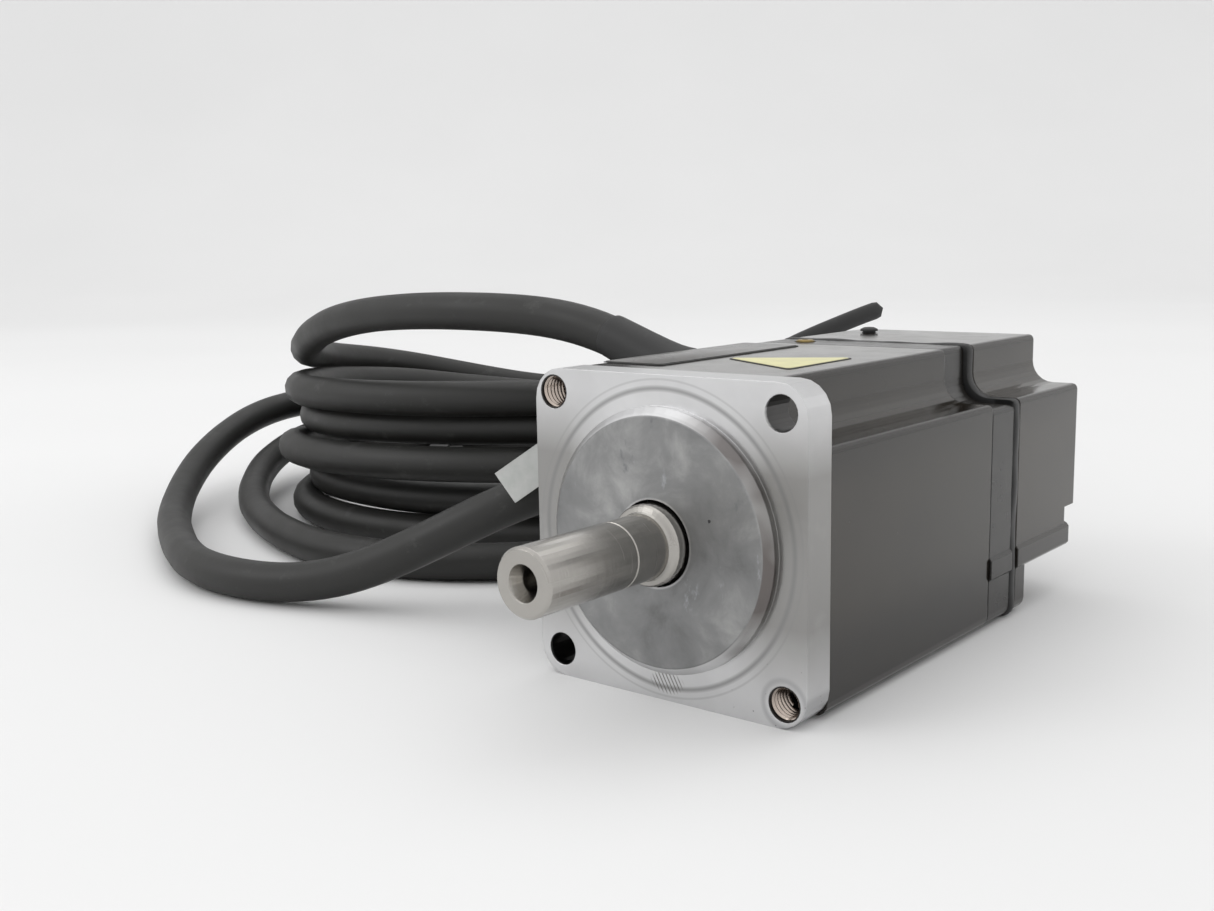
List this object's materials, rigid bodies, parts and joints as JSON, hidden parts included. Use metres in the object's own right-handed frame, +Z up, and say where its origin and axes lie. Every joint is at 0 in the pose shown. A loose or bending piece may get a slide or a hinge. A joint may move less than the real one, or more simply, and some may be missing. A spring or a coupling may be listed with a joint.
{
  "type": "servo motor",
  "caption": "Square-flange AC servo motor with a plain round shaft, a centring pilot, a rear encoder cover and power and encoder cables coiled beside it.",
  "frame": {"origin": "on the support plane, under the middle of the motor (flange width, and shaft tip to cover rear)", "axes": "-Y along the output shaft away from the motor, +Z up; the shaft axis is 30 mm above the origin; the cables lie at -X"},
  "size_m": [0.2885, 0.2937, 0.0711],
  "materials": {
    "cast_aluminium": "machined and cast, satin",
    "machined_steel": "turned",
    "dark_paint": "semi-gloss",
    "brass": "turned",
    "black_rubber": "matte",
    "cable_jacket": "matte",
    "black_plastic": "moulded",
    "laminated_steel": "laminated",
    "magnet": "ground",
    "copper_winding": "enamelled copper wire set in resin",
    "circuit_board": "solder mask",
    "white_plastic": "satin",
    "encoder_glass": "polished",
    "clear_sleeve": "clear film",
    "dark_plate": "satin",
    "yellow_label": "printed film, plain"
  },
  "bodies": {
    "motor": {"front_bracket": "cast_aluminium", "thread_insert_1": "machined_steel", "thread_insert_2": "machined_steel", "oil_seal": "black_rubber", "front_bearing_outer_ring": "machined_steel", "rear_bearing_outer_ring": "machined_steel", "wave_washer": "machined_steel", "stator_core": "laminated_steel", "front_end_winding": "copper_winding", "rear_end_winding": "copper_winding", "stator_housing": "dark_paint", "rear_bracket": "dark_paint", "bracket_screw_1": "machined_steel", "bracket_screw_2": "machined_steel", "bracket_screw_3": "machined_steel", "bracket_screw_4": "machined_steel", "grease_plug": "brass", "cover_gasket": "black_rubber", "encoder_cover": "dark_paint", "cover_screw_1": "machined_steel", "cover_screw_2": "machined_steel", "cover_screw_3": "machined_steel", "cover_screw_4": "machined_steel", "cover_vent_plug": "black_rubber", "encoder_board": "circuit_board", "encoder_reader": "black_plastic", "board_connector": "white_plastic", "board_standoff_1": "brass", "board_standoff_2": "brass", "board_standoff_3": "brass", "nameplate": "dark_plate", "caution_label": "yellow_label", "power_gland_plate": "black_rubber", "power_strain_relief": "black_rubber", "encoder_gland_block": "black_plastic", "encoder_strain_relief": "black_rubber", "power_cable": "cable_jacket", "encoder_cable": "cable_jacket", "encoder_cable_loop": "cable_jacket", "power_cable_end": "cable_jacket", "encoder_cable_end": "cable_jacket", "power_cable_coil": "cable_jacket", "encoder_cable_coil": "cable_jacket", "coil_strap": "black_rubber", "marker_sleeve": "clear_sleeve", "marker_card": "white_plastic", "power_connector": "black_plastic", "encoder_connector": "black_plastic"},
    "rotor": {"rotor_shaft": "machined_steel", "rotor_core": "laminated_steel", "rotor_magnet_ring": "magnet", "magnet_sleeve": "machined_steel", "balance_ring": "brass", "front_bearing_inner_ring": "machined_steel", "rear_bearing_inner_ring": "machined_steel", "encoder_hub": "machined_steel", "encoder_disc": "encoder_glass"},
    "front_cage": {"front_bearing_ball_cage": "machined_steel"},
    "rear_cage": {"rear_bearing_ball_cage": "machined_steel"}
  },
  "joints": [
    {"name": "rotor_spin", "type": "hinge", "parent": "motor", "child": "rotor", "pos_m": [0, 0, 0.03], "axis": [0, 1, 0], "continuous": true},
    {"name": "front_cage_spin", "type": "hinge", "parent": "motor", "child": "front_cage", "pos_m": [0, 0, 0.03], "axis": [0, 1, 0], "continuous": true},
    {"name": "rear_cage_spin", "type": "hinge", "parent": "motor", "child": "rear_cage", "pos_m": [0, 0, 0.03], "axis": [0, 1, 0], "continuous": true}
  ],
  "couplings": [
    {"joint": "front_cage_spin", "follows": "rotor_spin", "ratio": 0.36},
    {"joint": "rear_cage_spin", "follows": "rotor_spin", "ratio": 0.36}
  ]
}
